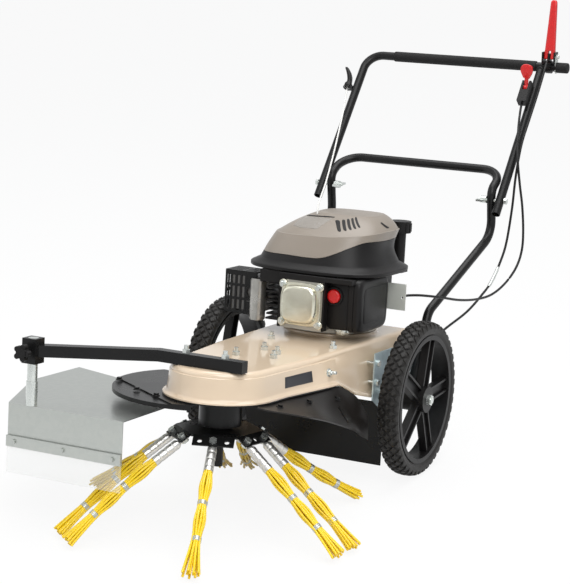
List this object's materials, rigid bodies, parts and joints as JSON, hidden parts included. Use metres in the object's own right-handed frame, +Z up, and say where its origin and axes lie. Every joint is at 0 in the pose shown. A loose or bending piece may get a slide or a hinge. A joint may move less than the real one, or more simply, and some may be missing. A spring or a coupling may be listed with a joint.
{
  "type": "power brush sweeper",
  "caption": "Walk-behind power brush sweeper: belt-driven rotor of corded bundles under a pressed deck, vertical-shaft engine, two wheels, side guard and folding handle.",
  "frame": {"origin": "on the ground, under the middle of the machine's box (cables left out)", "axes": "+Z up, +Y to the rear, towards the operator, +X to the machine's left"},
  "size_m": [0.837, 1.6376, 1.0401],
  "materials": {
    "cream_paint": "gloss",
    "black_paint": "satin",
    "zinc": "satin",
    "galvanised": "satin",
    "cast_metal": "satin",
    "black_plastic": "matte",
    "taupe_plastic": "satin",
    "red_plastic": "gloss",
    "tyre": "matte",
    "foam": "matte",
    "belt": "matte",
    "cord": "gloss",
    "clear_sheet": "gloss",
    "filter": "matte",
    "rope": "matte",
    "sheath": "satin"
  },
  "bodies": {
    "chassis": {"deck": "cream_paint", "base_plate": "black_paint", "front_shield": "black_paint", "side_skirt": "black_paint", "rear_apron": "black_paint", "axle": "zinc", "axle_brackets": "zinc", "spindle_housing": "black_paint", "spindle_bearings": "zinc", "fasteners": "zinc", "guard_arm": "black_paint", "lower_handle": "black_paint", "crankcase": "cast_metal", "valve_cover": "cast_metal", "cowl_lower": "black_plastic", "cowl_upper": "taupe_plastic", "fuel_tank": "black_plastic", "carburettor": "black_plastic", "airbox_cover": "black_plastic", "air_filter": "filter", "muffler": "zinc", "muffler_guard": "black_paint", "heat_shield": "zinc", "control_plate": "zinc", "drive_belt": "belt", "throttle_cable": "sheath", "clutch_cable": "sheath", "starter_rope": "rope"},
    "crank": {"crankshaft": "zinc", "flywheel": "cast_metal", "engine_pulley": "zinc"},
    "rotor": {"spindle": "black_paint", "rotor_pulley": "zinc", "rotor_plate": "black_paint", "brush_ferrules": "zinc", "brush_bundles": "cord", "rotor_bolts": "zinc"},
    "idler_arm": {"idler_arm": "zinc"},
    "idler_pulley": {"idler_pulley": "black_plastic"},
    "wheel_left": {"tyre_left": "tyre", "rim_left": "black_plastic"},
    "wheel_right": {"tyre_right": "tyre", "rim_right": "black_plastic"},
    "upper_handle": {"upper_handle": "black_paint", "grip_sleeves": "foam", "handle_brackets": "black_paint", "throttle_housing": "black_plastic"},
    "clutch_lever": {"clutch_lever": "red_plastic"},
    "throttle_lever": {"throttle_lever": "red_plastic"},
    "starter_grip": {"starter_grip": "black_plastic"},
    "knob_left": {"knob_left": "zinc"},
    "knob_right": {"knob_right": "zinc"},
    "guard": {"guard_post": "zinc", "guard_plate": "galvanised", "flap_strip": "zinc", "clear_flap": "clear_sheet"},
    "guard_knob": {"guard_knob": "black_plastic"},
    "fuel_cap": {"fuel_cap": "black_plastic"},
    "primer_bulb": {"primer_bulb": "red_plastic"}
  },
  "joints": [
    {"name": "wheel_left_spin", "type": "hinge", "parent": "chassis", "child": "wheel_left", "pos_m": [0.31699, 0.01742, 0.18], "axis": [1, 0, 0], "continuous": true},
    {"name": "wheel_right_spin", "type": "hinge", "parent": "chassis", "child": "wheel_right", "pos_m": [-0.18201, 0.01742, 0.18], "axis": [1, 0, 0], "continuous": true},
    {"name": "rotor_spin", "type": "hinge", "parent": "chassis", "child": "rotor", "pos_m": [0.06749, -0.47171, 0.22279], "axis": [0, 0.0872, 0.9962], "continuous": true, "deforming": ["clear_flap"]},
    {"name": "crank_spin", "type": "hinge", "parent": "chassis", "child": "crank", "pos_m": [0.06749, 0.05727, 0.17651], "axis": [0, 0.0872, 0.9962], "continuous": true},
    {"name": "idler_swing", "type": "hinge", "parent": "chassis", "child": "idler_arm", "pos_m": [0.17249, -0.25155, 0.20353], "axis": [0, 0.0872, 0.9962], "range_deg": [0, 12], "deforming": ["drive_belt"]},
    {"name": "idler_spin", "type": "hinge", "parent": "idler_arm", "child": "idler_pulley", "pos_m": [0.15049, -0.18182, 0.19743], "axis": [0, 0.0872, 0.9962], "continuous": true},
    {"name": "handle_fold", "type": "hinge", "parent": "chassis", "child": "upper_handle", "pos_m": [0.06749, 0.52242, 0.56], "axis": [-1, 0, 0], "range_deg": [0, 130], "deforming": ["throttle_cable", "clutch_cable", "starter_rope"]},
    {"name": "clutch_pull", "type": "hinge", "parent": "upper_handle", "child": "clutch_lever", "pos_m": [0.33349, 0.79422, 0.8953], "axis": [-1, 0, 0], "range_deg": [0, 70], "stiffness_Nm_per_rad": 1.5, "springref_deg": -11.46, "deforming": ["clutch_cable"]},
    {"name": "throttle_turn", "type": "hinge", "parent": "upper_handle", "child": "throttle_lever", "pos_m": [0.30049, 0.71859, 0.82032], "axis": [1, 0, 0], "range_deg": [0, 45], "deforming": ["throttle_cable"]},
    {"name": "starter_pull", "type": "slide", "parent": "upper_handle", "child": "starter_grip", "axis": [0, 0.6613, 0.7501], "range_m": [0, 0.35], "stiffness_N_per_m": 40, "springref_m": -0.05, "deforming": ["starter_rope"]},
    {"name": "knob_left_turn", "type": "hinge", "parent": "chassis", "child": "knob_left", "pos_m": [0.27049, 0.52242, 0.56], "axis": [1, 0, 0], "continuous": true},
    {"name": "knob_right_turn", "type": "hinge", "parent": "chassis", "child": "knob_right", "pos_m": [-0.13551, 0.52242, 0.56], "axis": [1, 0, 0], "continuous": true},
    {"name": "guard_height", "type": "slide", "parent": "chassis", "child": "guard", "axis": [0, 0.0872, 0.9962], "range_m": [-0.02, 0.014]},
    {"name": "guard_knob_turn", "type": "hinge", "parent": "chassis", "child": "guard_knob", "pos_m": [-0.27451, -0.69881, 0.38079], "axis": [0, 0.9962, -0.0872], "continuous": true},
    {"name": "fuel_cap_turn", "type": "hinge", "parent": "chassis", "child": "fuel_cap", "pos_m": [0.15949, 0.258, 0.52033], "axis": [0, 0.0872, 0.9962], "range_deg": [0, 120]},
    {"name": "primer_press", "type": "slide", "parent": "chassis", "child": "primer_bulb", "axis": [0, 0.9962, -0.0872], "range_m": [0, 0.005], "stiffness_N_per_m": 900, "springref_m": -0.001}
  ],
  "couplings": [
    {"joint": "crank_spin", "follows": "rotor_spin", "ratio": 1.75},
    {"joint": "idler_spin", "follows": "rotor_spin", "ratio": -3.1818},
    {"joint": "idler_swing", "follows": "clutch_pull", "ratio": 0.17143}
  ]
}
